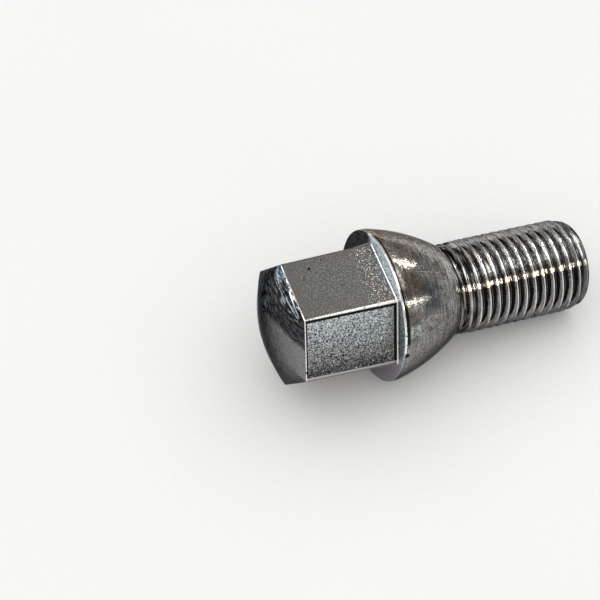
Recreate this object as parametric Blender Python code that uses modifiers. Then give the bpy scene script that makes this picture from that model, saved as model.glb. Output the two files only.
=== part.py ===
"""Wheel bolt: a domed hexagon head, a collar with a rounded seat, and a rolled metric thread.

The bolt is one cold-forged piece. It is modelled about its own Z axis, head up, with Z = 0 at the
neck, where the seat ends and the thread begins. An empty then lays it down as it comes to rest,
on its collar and on the last crests of its thread.
"""

import math

import bmesh
import bpy
from mathutils import Vector

MM = 0.001

# Hexagon head
HEX_ACROSS_FLATS = 17.0 * MM
HEX_DRAFT = math.radians(1.2)
HEX_LENGTH = 14.05 * MM
HEX_EDGE_ROUND = 0.4 * MM
HEX_FOOT_FILLET = 0.4 * MM
HEX_TURN = math.radians(-6.0)
DOME_HEIGHT = 2.6 * MM
DOME_SQUARENESS = 4

# Collar and seat
COLLAR_DIAMETER = 22.6 * MM
COLLAR_RIM_ROUND = 0.15 * MM
COLLAR_LAND = 1.05 * MM
SEAT_LENGTH = 9.9 * MM
SEAT_BULGE = 0.55 * MM
NECK_DIAMETER = 14.1 * MM
NECK_STEP = 0.3 * MM

# Thread, right-handed
THREAD_DIAMETER = 13.9 * MM
THREAD_PITCH = 1.5 * MM
THREAD_DEPTH = 0.8 * MM
THREAD_CREST = 0.42 * MM
THREAD_FLANK_ANGLE = math.radians(30)
THREAD_LENGTH = 21.8 * MM
RUN_OUT_TURNS = 2.5
RUN_OUT_CREST_DROP = 0.18 * MM
POINT_LENGTH = 2.0 * MM
POINT_DROP = 0.5 * MM
POINT_ROUND = 0.35 * MM

# How finely round shapes are faceted
ROUND_STEPS = 40
ARC_STEPS = 10
EDGE_STEPS = 2
FLAT_STEPS = 6
DOME_RINGS = 12
SHARP_ANGLE = math.radians(25)

# How far one blank reaches into the next, so that the union leaves no seam
SINK = 1.0 * MM

# Half a facet of roll, so that the round parts lie on flats and not on edges
HALF_FACET = math.pi / ROUND_STEPS

PLATED_STEEL = (0.42, 0.41, 0.40, 1.0)


def clear_scene():
    for obj in list(bpy.data.objects):
        bpy.data.objects.remove(obj, do_unlink=True)


def new_collection(name):
    collection = bpy.data.collections.new(name)
    bpy.context.scene.collection.children.link(collection)
    return collection


def new_object(name, bm, collection):
    mesh = bpy.data.meshes.new(name)
    bm.to_mesh(mesh)
    bm.free()
    mesh.shade_smooth()
    mesh.set_sharp_from_angle(angle=SHARP_ANGLE)
    obj = bpy.data.objects.new(name, mesh)
    collection.objects.link(obj)
    return obj


def as_cutter(obj):
    """A blank that only shapes another object is drawn as wire and left out of pictures."""
    obj.hide_render = True
    obj.display_type = "WIRE"
    return obj


def plated_steel():
    material = bpy.data.materials.new("plated_steel")
    material.use_nodes = True
    shader = material.node_tree.nodes["Principled BSDF"]
    shader.inputs["Base Color"].default_value = PLATED_STEEL
    shader.inputs["Metallic"].default_value = 1.0
    shader.inputs["Roughness"].default_value = 0.3
    return material


def arc(start, end, bulge, steps):
    """Points from start to end on a circle that rises by bulge above their chord, to its left."""
    start, end = Vector(start), Vector(end)
    chord = end - start
    half = chord.length / 2
    radius = (half * half + bulge * bulge) / (2 * bulge)
    outward = Vector((-chord.y, chord.x)).normalized()
    centre = (start + end) / 2 + outward * (bulge - radius)
    sweep = 2 * math.asin(min(1.0, half / radius))
    first = start - centre
    points = []
    for step in range(steps + 1):
        turn = -sweep * step / steps
        cos, sin = math.cos(turn), math.sin(turn)
        spoke = Vector((first.x * cos - first.y * sin, first.x * sin + first.y * cos))
        points.append(tuple(centre + spoke))
    return points


def turned(name, profile, steps, collection):
    """Solid of revolution about Z from (radius, height) points, listed from the top down."""
    bm = bmesh.new()
    verts = [bm.verts.new((radius, 0.0, height)) for radius, height in profile]
    for upper, lower in zip(verts, verts[1:]):
        bm.edges.new((upper, lower))
    obj = new_object(name, bm, collection)
    screw = obj.modifiers.new("revolve", "SCREW")
    screw.axis = "Z"
    screw.steps = steps
    screw.render_steps = steps
    screw.use_merge_vertices = True
    screw.merge_threshold = 0.00001
    return obj


def boolean(obj, operation, cutter):
    modifier = obj.modifiers.new(cutter.name, "BOOLEAN")
    modifier.operation = operation
    modifier.solver = "EXACT"
    modifier.object = cutter


# Heights on the bolt's own axis, from the neck
collar_face = SEAT_LENGTH + COLLAR_LAND
corner_top = collar_face + HEX_LENGTH
thread_radius = THREAD_DIAMETER / 2
root_radius = thread_radius - THREAD_DEPTH
corner_radius = HEX_ACROSS_FLATS / 2 / math.cos(math.radians(30))


def next_ring(bm, rim, share, rise):
    """Extrude a closed rim of edges, scale the new ring about the axis and raise it."""
    grown = bmesh.ops.extrude_edge_only(bm, edges=rim)["geom"]
    ring = [item for item in grown if isinstance(item, bmesh.types.BMVert)]
    bmesh.ops.scale(bm, verts=ring, vec=(share, share, 1))
    bmesh.ops.translate(bm, verts=ring, vec=(0, 0, rise))
    return [item for item in grown if isinstance(item, bmesh.types.BMEdge)], ring


def dome_height(share):
    """Height of the dome above the head's corners, at a share of the way from axis to edge."""
    radius = (corner_radius**2 + DOME_HEIGHT**2) / (2 * DOME_HEIGHT)
    return math.sqrt(radius**2 - (share * corner_radius) ** 2) - radius + DOME_HEIGHT


def raise_dome(bm, rim):
    """Close the head with rings that rise on a ball and turn from the hexagon into circles."""
    long_edges = [edge for edge in rim if edge.calc_length() > HEX_EDGE_ROUND]
    bmesh.ops.subdivide_edges(bm, edges=long_edges, cuts=FLAT_STEPS - 1)
    rim = [edge for edge in bm.edges if edge.is_boundary]
    rings = []
    share = 1.0
    for step in range(1, DOME_RINGS + 1):
        smaller = math.cos(math.radians(85) * step / DOME_RINGS)
        rim, ring = next_ring(bm, rim, smaller / share, dome_height(smaller) - dome_height(share))
        share = smaller
        rings.append((share, ring))
    for share, ring in rings:
        roundness = 1 - share**DOME_SQUARENESS
        for vert in ring:
            reach = math.hypot(vert.co.x, vert.co.y)
            rounder = reach + roundness * (share * corner_radius - reach)
            vert.co.x *= rounder / reach
            vert.co.y *= rounder / reach
    bmesh.ops.edgeloop_fill(bm, edges=rim)


def hexagon_blank(collection):
    """Drafted hexagon with rounded edges, a filleted foot and a domed end, built up in rings."""
    flat_length = HEX_LENGTH - HEX_FOOT_FILLET
    across_foot = HEX_ACROSS_FLATS + 2 * flat_length * math.tan(HEX_DRAFT)
    levels = [(across_foot + 2 * HEX_FOOT_FILLET, collar_face - SINK)]
    for step in range(ARC_STEPS // 2 + 1):
        angle = math.radians(80) * (1 - step / (ARC_STEPS // 2))
        out = HEX_FOOT_FILLET * (1 - math.cos(angle))
        up = HEX_FOOT_FILLET * (1 - math.sin(angle))
        levels.append((across_foot + 2 * out, collar_face + up))
    levels.append((HEX_ACROSS_FLATS, corner_top))

    bm = bmesh.new()
    across, height = levels[0]
    bmesh.ops.create_circle(bm, cap_ends=True, segments=6, radius=across / 2 / math.cos(math.radians(30)))
    bmesh.ops.bevel(
        bm,
        geom=bm.verts[:],
        offset=HEX_EDGE_ROUND * math.tan(math.radians(30)),
        segments=EDGE_STEPS,
        profile=0.5,
        affect="VERTICES",
    )
    bmesh.ops.translate(bm, verts=bm.verts[:], vec=(0, 0, height))
    rim = bm.edges[:]
    for (across, upper), (wider, lower) in zip(levels[1:], levels):
        rim, _ = next_ring(bm, rim, across / wider, upper - lower)
    raise_dome(bm, rim)
    bmesh.ops.recalc_face_normals(bm, faces=bm.faces[:])
    blank = as_cutter(new_object("hexagon_blank", bm, collection))
    blank.rotation_euler.z = HEX_TURN - HALF_FACET
    return blank


def seat_profile():
    """Outer side of the collar from its rim down to the neck, as (radius, height)."""
    collar_radius = COLLAR_DIAMETER / 2
    rim_edge = (collar_radius - COLLAR_RIM_ROUND, collar_face)
    rim_side = (collar_radius, collar_face - COLLAR_RIM_ROUND)
    seat_top = (collar_radius, SEAT_LENGTH)
    seat_end = (NECK_DIAMETER / 2, 0.0)
    return [rim_edge, rim_side] + arc(seat_top, seat_end, SEAT_BULGE, ARC_STEPS)


def collar_blank(collection):
    """Collar, seat and the cone under the neck that the first threads run out on."""
    run_out = RUN_OUT_TURNS * THREAD_PITCH
    profile = [(0.0, collar_face)] + seat_profile()
    profile += [
        (thread_radius - RUN_OUT_CREST_DROP - NECK_STEP, -NECK_STEP),
        (root_radius - NECK_STEP, -run_out - SINK),
        (0.0, -run_out - SINK),
    ]
    return turned("wheel_bolt", profile, ROUND_STEPS, collection)


def crest_limit(height):
    """Largest radius that the thread may have at a height: low at the neck, pointed at the tip."""
    down = -height
    run_out = RUN_OUT_TURNS * THREAD_PITCH
    neck_limit = thread_radius - RUN_OUT_CREST_DROP * max(0.0, 1 - down / run_out)
    point_start = THREAD_LENGTH - POINT_LENGTH - POINT_ROUND
    point_limit = thread_radius - POINT_DROP * max(0.0, down - point_start) / POINT_LENGTH
    end_limit = thread_radius - POINT_DROP - POINT_ROUND + (THREAD_LENGTH - down)
    return min(neck_limit, point_limit, end_limit)


def threaded_rod(collection):
    """One pitch of the thread swept along its helix, cut off square at both ends and capped.

    The rod is rolled by half a facet, so that none of its edges lie along those of the cone.
    """
    flank = THREAD_DEPTH * math.tan(THREAD_FLANK_ANGLE)
    crest_end = THREAD_CREST / 2
    root_start = crest_end + flank
    outline = [
        (thread_radius, 0.0),
        (thread_radius, crest_end),
        (root_radius, root_start),
        (root_radius, THREAD_PITCH - root_start),
        (thread_radius, THREAD_PITCH - crest_end),
        (thread_radius, THREAD_PITCH),
    ]
    top = SINK
    bottom = -THREAD_LENGTH
    turns = math.ceil((top - bottom) / THREAD_PITCH) + 2
    start = bottom - 1.5 * THREAD_PITCH

    bm = bmesh.new()
    verts = [bm.verts.new((radius, 0.0, start + height)) for radius, height in outline]
    edges = [bm.edges.new(pair) for pair in zip(verts, verts[1:])]
    bmesh.ops.spin(
        bm,
        geom=verts + edges,
        axis=(0, 0, 1),
        cent=(0, 0, 0),
        dvec=(0, 0, THREAD_PITCH / ROUND_STEPS),
        angle=2 * math.pi * turns,
        steps=ROUND_STEPS * turns,
    )
    bmesh.ops.remove_doubles(bm, verts=bm.verts[:], dist=0.00001)
    for plane, clear_above in ((top, True), (bottom, False)):
        bmesh.ops.bisect_plane(
            bm,
            geom=bm.verts[:] + bm.edges[:] + bm.faces[:],
            plane_co=(0, 0, plane),
            plane_no=(0, 0, 1),
            clear_outer=clear_above,
            clear_inner=not clear_above,
        )
        ends = [edge for edge in bm.edges if edge.is_boundary]
        rim = [edge for edge in ends if all(abs(vert.co.z - plane) < 0.000001 for vert in edge.verts)]
        bmesh.ops.edgeloop_fill(bm, edges=rim)
    for vert in bm.verts:
        radius = math.hypot(vert.co.x, vert.co.y)
        limit = crest_limit(vert.co.z)
        if radius > limit:
            vert.co.x *= limit / radius
            vert.co.y *= limit / radius
    bmesh.ops.recalc_face_normals(bm, faces=bm.faces[:])
    rod = as_cutter(new_object("threaded_rod", bm, collection))
    rod.rotation_euler.z = HALF_FACET
    return rod


def rest_tilt():
    """Angle by which the tip hangs below the collar when the bolt lies on both."""
    last_crest = THREAD_LENGTH - POINT_LENGTH - POINT_ROUND
    return max(
        math.atan2(radius - thread_radius, last_crest + height)
        for radius, height in seat_profile()
        if radius > thread_radius
    )


def lie_down(bolt, children):
    """Lay the bolt on its side, lowest point at Z = 0 and its bounding box centred on the origin."""
    rest = bpy.data.objects.new("resting_pose", None)
    bpy.context.scene.collection.objects.link(rest)
    for child in [bolt] + children:
        child.parent = rest
    rest.rotation_mode = "ZYX"
    rest.rotation_euler = (0.0, rest_tilt() - math.radians(90), HALF_FACET)
    bpy.context.view_layer.update()
    shaped = bolt.evaluated_get(bpy.context.evaluated_depsgraph_get())
    mesh = shaped.to_mesh()
    places = [shaped.matrix_world @ vert.co for vert in mesh.vertices]
    shaped.to_mesh_clear()
    lows = Vector([min(place[axis] for place in places) for axis in range(3)])
    highs = Vector([max(place[axis] for place in places) for axis in range(3)])
    middle = (lows + highs) / 2
    rest.location = (-middle.x, -middle.y, -lows.z)


def main():
    clear_scene()
    parts = new_collection("wheel_bolt")
    blanks = new_collection("blanks")

    hexagon = hexagon_blank(blanks)
    rod = threaded_rod(blanks)

    bolt = collar_blank(parts)
    boolean(bolt, "UNION", hexagon)
    boolean(bolt, "UNION", rod)
    bolt.data.materials.append(plated_steel())
    lie_down(bolt, [hexagon, rod])


main()
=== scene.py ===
# %% [markdown]
# # A plated wheel bolt on a pale table
#
# A wheel bolt is one piece of cold-forged steel: a domed hexagon head, a collar whose rounded seat
# centres in the wheel, and a rolled thread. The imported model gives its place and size. This script
# gives it a finer surface and its finish, and sets it in plain studio light.

# %% [markdown]
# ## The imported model
#
# The bolt's solid was made first and packed with its place, size and weight. It could be imported
# and placed again by hand, but then the two would drift apart. Loading it as a fixed frame keeps
# every later surface where the solid is. Its box is kept, to compare with at the end.

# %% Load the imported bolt
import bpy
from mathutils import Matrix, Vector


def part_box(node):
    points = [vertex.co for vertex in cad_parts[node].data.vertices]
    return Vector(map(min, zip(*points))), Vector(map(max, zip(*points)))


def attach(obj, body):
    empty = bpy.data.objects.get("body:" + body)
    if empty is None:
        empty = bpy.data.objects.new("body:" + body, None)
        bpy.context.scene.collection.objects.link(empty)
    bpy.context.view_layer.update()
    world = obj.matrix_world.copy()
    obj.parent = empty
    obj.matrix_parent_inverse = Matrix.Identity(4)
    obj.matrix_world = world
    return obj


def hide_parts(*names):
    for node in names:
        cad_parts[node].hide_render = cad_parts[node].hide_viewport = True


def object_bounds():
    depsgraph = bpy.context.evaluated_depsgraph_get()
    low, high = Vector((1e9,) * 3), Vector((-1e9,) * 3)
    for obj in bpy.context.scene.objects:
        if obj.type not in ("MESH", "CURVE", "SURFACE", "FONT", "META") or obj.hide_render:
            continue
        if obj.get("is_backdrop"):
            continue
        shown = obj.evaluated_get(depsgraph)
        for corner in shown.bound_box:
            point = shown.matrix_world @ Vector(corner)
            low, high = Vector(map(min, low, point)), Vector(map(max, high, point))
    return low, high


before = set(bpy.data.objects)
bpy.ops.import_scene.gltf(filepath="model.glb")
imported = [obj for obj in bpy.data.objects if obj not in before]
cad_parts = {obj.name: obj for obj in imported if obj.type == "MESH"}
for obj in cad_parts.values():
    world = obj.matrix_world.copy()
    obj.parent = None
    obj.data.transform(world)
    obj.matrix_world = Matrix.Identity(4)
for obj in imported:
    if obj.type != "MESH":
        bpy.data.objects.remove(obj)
cad_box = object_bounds()
print("bolt, lowest and highest corner:", [[round(value, 5) for value in corner] for corner in cad_box])

# %% Blender's modules and the unit of length
import math

import bmesh
import bpy
from mathutils import Matrix, Vector

MM = 0.001
print("one millimetre in Blender's metres:", MM)

# %% [markdown]
# ## The bolt's own axis
#
# It is easiest to think of a turned part about its own axis. Here the bolt stands on its thread with
# the head up, and height 0 is the neck, where the seat ends and the thread begins. The next three
# cells hold the driving sizes, and the heights follow from them.

# %% Driving sizes of the head
HEX_ACROSS_FLATS = 17.0 * MM
HEX_DRAFT = math.radians(1.2)
HEX_LENGTH = 14.05 * MM
HEX_EDGE_ROUND = 0.4 * MM
HEX_FOOT_FILLET = 0.4 * MM
HEX_TURN = math.radians(-6.0)
DOME_HEIGHT = 2.6 * MM
DOME_SQUARENESS = 4
DOME_EDGE_ROUND = 0.25 * MM
print("hexagon across its flats, mm:", round(HEX_ACROSS_FLATS / MM, 2))

# %% Driving sizes of the collar and its seat
COLLAR_RADIUS = 11.3 * MM
COLLAR_RIM_ROUND = 0.15 * MM
COLLAR_LAND = 1.05 * MM
SEAT_LENGTH = 9.9 * MM
SEAT_BULGE = 0.55 * MM
NECK_RADIUS = 7.05 * MM
NECK_STEP = 0.3 * MM
print("collar, mm across:", round(2 * COLLAR_RADIUS / MM, 2))

# %% Driving sizes of the thread
THREAD_RADIUS = 6.95 * MM
THREAD_PITCH = 1.5 * MM
THREAD_DEPTH = 0.8 * MM
THREAD_CREST = 0.42 * MM
THREAD_FLANK_ANGLE = math.radians(30)
THREAD_LENGTH = 21.8 * MM
RUN_OUT = 2.5 * THREAD_PITCH
RUN_OUT_CREST_DROP = 0.18 * MM
POINT_LENGTH = 2.0 * MM
POINT_DROP = 0.5 * MM
POINT_ROUND = 0.35 * MM
SWEEP_START = -THREAD_LENGTH - 1.55 * THREAD_PITCH
print("thread, mm:", round(2 * THREAD_RADIUS / MM, 2), "across, pitch", round(THREAD_PITCH / MM, 2))

# %% Sizes that follow
collar_face = SEAT_LENGTH + COLLAR_LAND
corner_top = collar_face + HEX_LENGTH
root_radius = THREAD_RADIUS - THREAD_DEPTH
sixth = math.radians(60)
quarter = math.radians(90)
last_crest = THREAD_LENGTH - POINT_LENGTH - POINT_ROUND
corner_radius = HEX_ACROSS_FLATS / 2 / math.cos(sixth / 2)
dome_radius = (corner_radius**2 + DOME_HEIGHT**2) / (2 * DOME_HEIGHT)
print("length over all, mm:", round((corner_top + DOME_HEIGHT + THREAD_LENGTH) / MM, 2))

# %% [markdown]
# ## Columns round the head
#
# The head changes from a dome to a hexagon to a round collar. One way to make it is to cut and join
# solids, but the rounded edges, which catch the light on a real bolt, then need a second operation
# on a ragged mesh. A loft is cleaner: the same columns run from the middle of the dome down over the
# hexagon and the collar, and only their radius changes. The columns crowd together at the six
# corners, so that the small rounding there has enough of them.

# %% Directions of the columns
FLAT_COLUMNS = 18
CORNER_COLUMNS = 10


def sector_directions():
    """Angles of one sector's columns, from the middle of a flat's left corner to the next one."""
    inradius = HEX_ACROSS_FLATS / 2
    half_flat = (inradius - HEX_EDGE_ROUND) * math.tan(sixth / 2)
    corner = (inradius - HEX_EDGE_ROUND) / math.cos(sixth / 2)
    angles = []
    for step in range(FLAT_COLUMNS):
        angles.append(math.atan2(half_flat * (2 * step / FLAT_COLUMNS - 1), inradius))
    for step in range(CORNER_COLUMNS):
        turn = sixth * step / CORNER_COLUMNS
        across = corner * math.cos(sixth / 2) + HEX_EDGE_ROUND * math.cos(turn)
        along = corner * math.sin(sixth / 2) + HEX_EDGE_ROUND * math.sin(turn)
        angles.append(math.atan2(along, across))
    return angles


columns = [sector * sixth + angle for sector in range(6) for angle in sector_directions()]
print("columns round the head:", len(columns))

# %% [markdown]
# ## A hexagon seen from its axis
#
# To loft with columns, each needs the hexagon's radius in its own direction. One could cut a drawn
# hexagon with a ray, but the sum is short: a flat is a straight line, whose radius grows with the
# cosine of the angle, and a rounded corner is a small circle round a point on the corner's line.
# The flats lean out by a degree towards the collar, as a forging does to leave its die.

# %% Radius of a rounded hexagon in any direction


def hexagon_radius(angle, inradius, rounding):
    """Distance from the axis to a hexagon with rounded corners. A flat's middle is at angle 0."""
    off_flat = abs((angle + sixth / 2) % sixth - sixth / 2)
    flat_end = math.atan((inradius - rounding) * math.tan(sixth / 2) / inradius)
    if off_flat <= flat_end:
        return inradius / math.cos(off_flat)
    corner = (inradius - rounding) / math.cos(sixth / 2)
    off_corner = sixth / 2 - off_flat
    past_centre = math.sqrt(rounding**2 - (corner * math.sin(off_corner))**2)
    return corner * math.cos(off_corner) + past_centre


def flat_radius(angle, height, out=0.0):
    """Radius of the drafted hexagon at a height, grown outward by out."""
    inradius = HEX_ACROSS_FLATS / 2 + (corner_top - height) * math.tan(HEX_DRAFT)
    return hexagon_radius(angle, inradius + out, HEX_EDGE_ROUND + out)


print("over two rounded corners, mm:", round(2 * flat_radius(sixth / 2, corner_top) / MM, 2))

# %% [markdown]
# ## One column, from the dome's middle to the neck
#
# Each column is a list of radius and height. The dome rises on a ball, but its outline is a hexagon
# where it leaves the flats and turns round towards the middle, so the flats end in straight edges.
# A small arc that touches dome and flat takes the place of the sharp edge, as forging leaves it.
# Under the flat comes the fillet at its foot, then the flat face of the collar, the sharp rim, the
# short land, and the seat, which is one even curve down to the neck.

# %% Rows of the dome and its edge
DOME_ROWS = 16
EDGE_ROWS = 6


def dome_point(share, hex_radius):
    """Radius and height of the dome at a share of the way from its middle to the edge."""
    squareness = share**DOME_SQUARENESS
    radius = share * (corner_radius + squareness * (hex_radius - corner_radius))
    rise = math.sqrt(dome_radius**2 - (share * corner_radius)**2) - dome_radius + DOME_HEIGHT
    return radius, corner_top + rise


def dome_and_edge(angle):
    """Rows from the dome's middle to the end of the small rounding at the flat's top."""
    hex_radius = flat_radius(angle, corner_top)
    fall = corner_radius**2 / math.sqrt(dome_radius**2 - corner_radius**2)
    spread = hex_radius + DOME_SQUARENESS * (hex_radius - corner_radius)
    lean = math.atan2(fall, spread)
    reach = DOME_EDGE_ROUND * math.tan((quarter - lean) / 2)
    ball_height = dome_radius - DOME_HEIGHT + reach * math.sin(lean)
    last = math.sqrt(dome_radius**2 - ball_height**2) / corner_radius
    rows = [dome_point(last * step / DOME_ROWS, hex_radius) for step in range(1, DOME_ROWS)]
    end = quarter - HEX_DRAFT
    for step in range(EDGE_ROWS + 1):
        turn = lean + (end - lean) * step / EDGE_ROWS
        radius = hex_radius - DOME_EDGE_ROUND * (1 - math.sin(turn))
        rows.append((radius, corner_top - reach + DOME_EDGE_ROUND * math.cos(turn)))
    return rows


sample_column = dome_and_edge(0.0)
print("rows over the dome:", len(sample_column))

# %% Rows of a flat and its foot
FLAT_ROWS = 6
FOOT_ROWS = 8


def flat_and_foot(angle, top):
    """Rows down a flat and round the fillet at its foot."""
    bottom = collar_face + HEX_FOOT_FILLET
    rows = []
    for step in range(1, FLAT_ROWS):
        height = top + (bottom - top) * step / FLAT_ROWS
        rows.append((flat_radius(angle, height), height))
    for step in range(FOOT_ROWS + 1):
        turn = quarter * step / FOOT_ROWS
        out = HEX_FOOT_FILLET * (1 - math.cos(turn))
        height = collar_face + HEX_FOOT_FILLET * (1 - math.sin(turn))
        rows.append((flat_radius(angle, height, out), height))
    return rows


sample_column += flat_and_foot(0.0, sample_column[-1][1])
print("rows down to the collar:", len(sample_column))

# %% Rows of the collar and the seat
RIM_ROWS = 5
SEAT_ROWS = 36


def collar_and_seat():
    """Rows over the collar's rim, its land and its seat, which are the same for every column."""
    rows = []
    for step in range(RIM_ROWS + 1):
        turn = quarter * step / RIM_ROWS
        inner = COLLAR_RADIUS - COLLAR_RIM_ROUND
        height = collar_face - COLLAR_RIM_ROUND + COLLAR_RIM_ROUND * math.cos(turn)
        rows.append((inner + COLLAR_RIM_ROUND * math.sin(turn), height))
    chord = Vector((NECK_RADIUS - COLLAR_RADIUS, -SEAT_LENGTH))
    bow = (chord.length_squared / 4 + SEAT_BULGE**2) / (2 * SEAT_BULGE)
    outward = Vector((-chord.y, chord.x)).normalized()
    middle = Vector((COLLAR_RADIUS, SEAT_LENGTH)) + chord / 2 + outward * (SEAT_BULGE - bow)
    first = Vector((COLLAR_RADIUS, SEAT_LENGTH)) - middle
    sweep = 2 * math.asin(chord.length / 2 / bow)
    for step in range(SEAT_ROWS + 1):
        turn = -sweep * step / SEAT_ROWS
        cos, sin = math.cos(turn), math.sin(turn)
        spoke = Vector((first.x * cos - first.y * sin, first.x * sin + first.y * cos))
        rows.append(tuple(middle + spoke))
    rows.append((THREAD_RADIUS - RUN_OUT_CREST_DROP - NECK_STEP, -NECK_STEP))
    rows.append((root_radius - NECK_STEP, -RUN_OUT - THREAD_PITCH / 2))
    return rows


seat_rows = collar_and_seat()
print("rows in a whole column:", len(sample_column) + len(seat_rows))

# %% [markdown]
# ## Loft the columns
#
# Neighbouring columns have the same rows, so a face goes between each four points. The dome's
# middle closes the top and a point on the axis, deep inside the thread, closes the foot. Building
# the faces by hand in a bmesh keeps them in even rings, which shade smoothly.

# %% Loft the head


def loft_head():
    """Head, collar and seat as one closed mesh in a bmesh."""
    bm = bmesh.new()
    apex = bm.verts.new((0, 0, corner_top + DOME_HEIGHT))
    lines = []
    for angle in columns:
        rows = dome_and_edge(angle)
        rows += flat_and_foot(angle, rows[-1][1])
        rows += seat_rows
        cos, sin = math.cos(angle + HEX_TURN), math.sin(angle + HEX_TURN)
        lines.append([bm.verts.new((radius * cos, radius * sin, height)) for radius, height in rows])
    foot = bm.verts.new((0, 0, lines[0][-1].co.z))
    for line, following in zip(lines, lines[1:] + lines[:1]):
        bm.faces.new((apex, line[0], following[0]))
        bm.faces.new((foot, following[-1], line[-1]))
        for row in range(len(line) - 1):
            bm.faces.new((line[row], line[row + 1], following[row + 1], following[row]))
    bmesh.ops.recalc_face_normals(bm, faces=bm.faces[:])
    return bm


def new_object(name, bm):
    """An object in the scene with a bmesh as its mesh. The bmesh is used up."""
    mesh = bpy.data.meshes.new(name)
    bm.to_mesh(mesh)
    bm.free()
    obj = bpy.data.objects.new(name, mesh)
    bpy.context.scene.collection.objects.link(obj)
    return obj


head = new_object("bolt_surface", loft_head())
print("head and collar:", len(head.data.polygons), "faces")

# %% [markdown]
# ## The thread
#
# A rolled thread is pressed into the shank: its crests are a little rounded and its roots are
# curves. It could be faked with a bump, but the outline of a real thread is toothed. The true way
# is to draw the profile of one pitch and to sweep it along the helix. First comes the profile: flat
# crest, flank at 30 degrees, root, and the other flank, with every corner rounded.

# %% Profile of one pitch
CREST_ROUND = 0.09 * MM
ROOT_ROUND = 0.12 * MM
ROUND_ROWS = 3


def pitch_outline():
    """Half a pitch from crest to root with both corners rounded, and its mirror image."""
    flank = THREAD_DEPTH * math.tan(THREAD_FLANK_ANGLE)
    crest_end = THREAD_CREST / 2
    lean = quarter - THREAD_FLANK_ANGLE
    inset = math.tan(lean / 2)
    half = [(THREAD_RADIUS, 0.0)]
    start = crest_end - CREST_ROUND * inset
    for step in range(ROUND_ROWS + 1):
        turn = lean * step / ROUND_ROWS
        radius = THREAD_RADIUS - CREST_ROUND * (1 - math.cos(turn))
        half.append((radius, start + CREST_ROUND * math.sin(turn)))
    end = crest_end + flank + ROOT_ROUND * inset
    for step in range(ROUND_ROWS + 1):
        turn = lean * (1 - step / ROUND_ROWS)
        radius = root_radius + ROOT_ROUND * (1 - math.cos(turn))
        half.append((radius, end - ROOT_ROUND * math.sin(turn)))
    mirrored = [(radius, THREAD_PITCH - height) for radius, height in reversed(half)]
    return half + mirrored


outline = pitch_outline()
print("points in one pitch:", len(outline))

# %% [markdown]
# ## Where the crests are drawn in
#
# A real thread doesn't end at full height. Near the neck the rolling dies pull out, so the crests
# sink, and the tip is pointed so that the bolt starts easily. Both are limits on the radius, and a
# limit is simpler than a cut: any point outside it moves in to it. The sweep's ends are cut square.

# %% Largest radius along the thread


def crest_limit(height):
    """Largest radius that the thread may have at a height: low at the neck, pointed at the tip."""
    down = -height
    neck_limit = THREAD_RADIUS - RUN_OUT_CREST_DROP * max(0.0, 1 - down / RUN_OUT)
    point_limit = THREAD_RADIUS - POINT_DROP * max(0.0, down - last_crest) / POINT_LENGTH
    end_limit = THREAD_RADIUS - POINT_DROP - POINT_ROUND + (THREAD_LENGTH - down)
    return min(neck_limit, point_limit, end_limit)


print("radius at the tip, mm:", round(crest_limit(-THREAD_LENGTH) / MM, 2))

# %% Cut a rod off square
LEVEL_TOLERANCE = 0.001 * MM


def cut_square(bm, height, keep_above):
    """Cut the rod off at a height and close it with one flat face."""
    everything = bm.verts[:] + bm.edges[:] + bm.faces[:]
    bmesh.ops.bisect_plane(
        bm,
        geom=everything,
        plane_co=(0, 0, height),
        plane_no=(0, 0, 1),
        clear_inner=keep_above,
        clear_outer=not keep_above,
    )
    rim = [
        edge
        for edge in bm.edges
        if edge.is_boundary and all(abs(vert.co.z - height) < LEVEL_TOLERANCE for vert in edge.verts)
    ]
    bmesh.ops.edgeloop_fill(bm, edges=rim)


print("thread from", -THREAD_LENGTH / MM, "to", THREAD_PITCH / 2 / MM, "mm")

# %% [markdown]
# ## Sweep the profile along the helix
#
# The Screw modifier turns a line round the axis and lifts it by one pitch a turn. Each turn ends
# where the next begins, so welding the near points makes one closed skin. The sweep starts a turn
# and a half below the end, which also sets where the crests come round. Fewer steps would show as
# corners on the crests. At 144 a turn they stay under a third of a millimetre.

# %% Sweep the thread
TURN_STEPS = 144
SPARE_TURNS = 4
WELD_DISTANCE = 0.005 * MM


def swept_thread():
    """The outline swept over enough turns, with neighbouring turns welded together, in a bmesh."""
    turns = math.ceil(THREAD_LENGTH / THREAD_PITCH) + SPARE_TURNS
    line = bmesh.new()
    verts = [line.verts.new((radius, 0.0, SWEEP_START + height)) for radius, height in outline]
    for pair in zip(verts, verts[1:]):
        line.edges.new(pair)
    sweep = new_object("pitch_outline", line)
    screw = sweep.modifiers.new("helix", "SCREW")
    screw.axis = "Z"
    screw.angle = 2 * math.pi
    screw.screw_offset = THREAD_PITCH
    screw.iterations = turns
    screw.steps = TURN_STEPS
    screw.render_steps = TURN_STEPS
    bm = bmesh.new()
    bm.from_object(sweep, bpy.context.evaluated_depsgraph_get())
    bpy.data.objects.remove(sweep, do_unlink=True)
    bmesh.ops.remove_doubles(bm, verts=bm.verts[:], dist=WELD_DISTANCE)
    return bm


swept = swept_thread()
print("points in the swept thread:", len(swept.verts))

# %% Cut the thread to length and draw its crests in


def threaded_rod(bm):
    """The sweep as a closed rod, cut square at both ends and kept within the crest limit."""
    cut_square(bm, THREAD_PITCH / 2, keep_above=False)
    cut_square(bm, -THREAD_LENGTH, keep_above=True)
    for vert in bm.verts:
        radius = math.hypot(vert.co.x, vert.co.y)
        limit = crest_limit(vert.co.z)
        if radius > limit:
            vert.co.x *= limit / radius
            vert.co.y *= limit / radius
    bmesh.ops.recalc_face_normals(bm, faces=bm.faces[:])
    return new_object("threaded_rod", bm)


rod = threaded_rod(swept)
print("thread:", len(rod.data.polygons), "faces")

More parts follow.
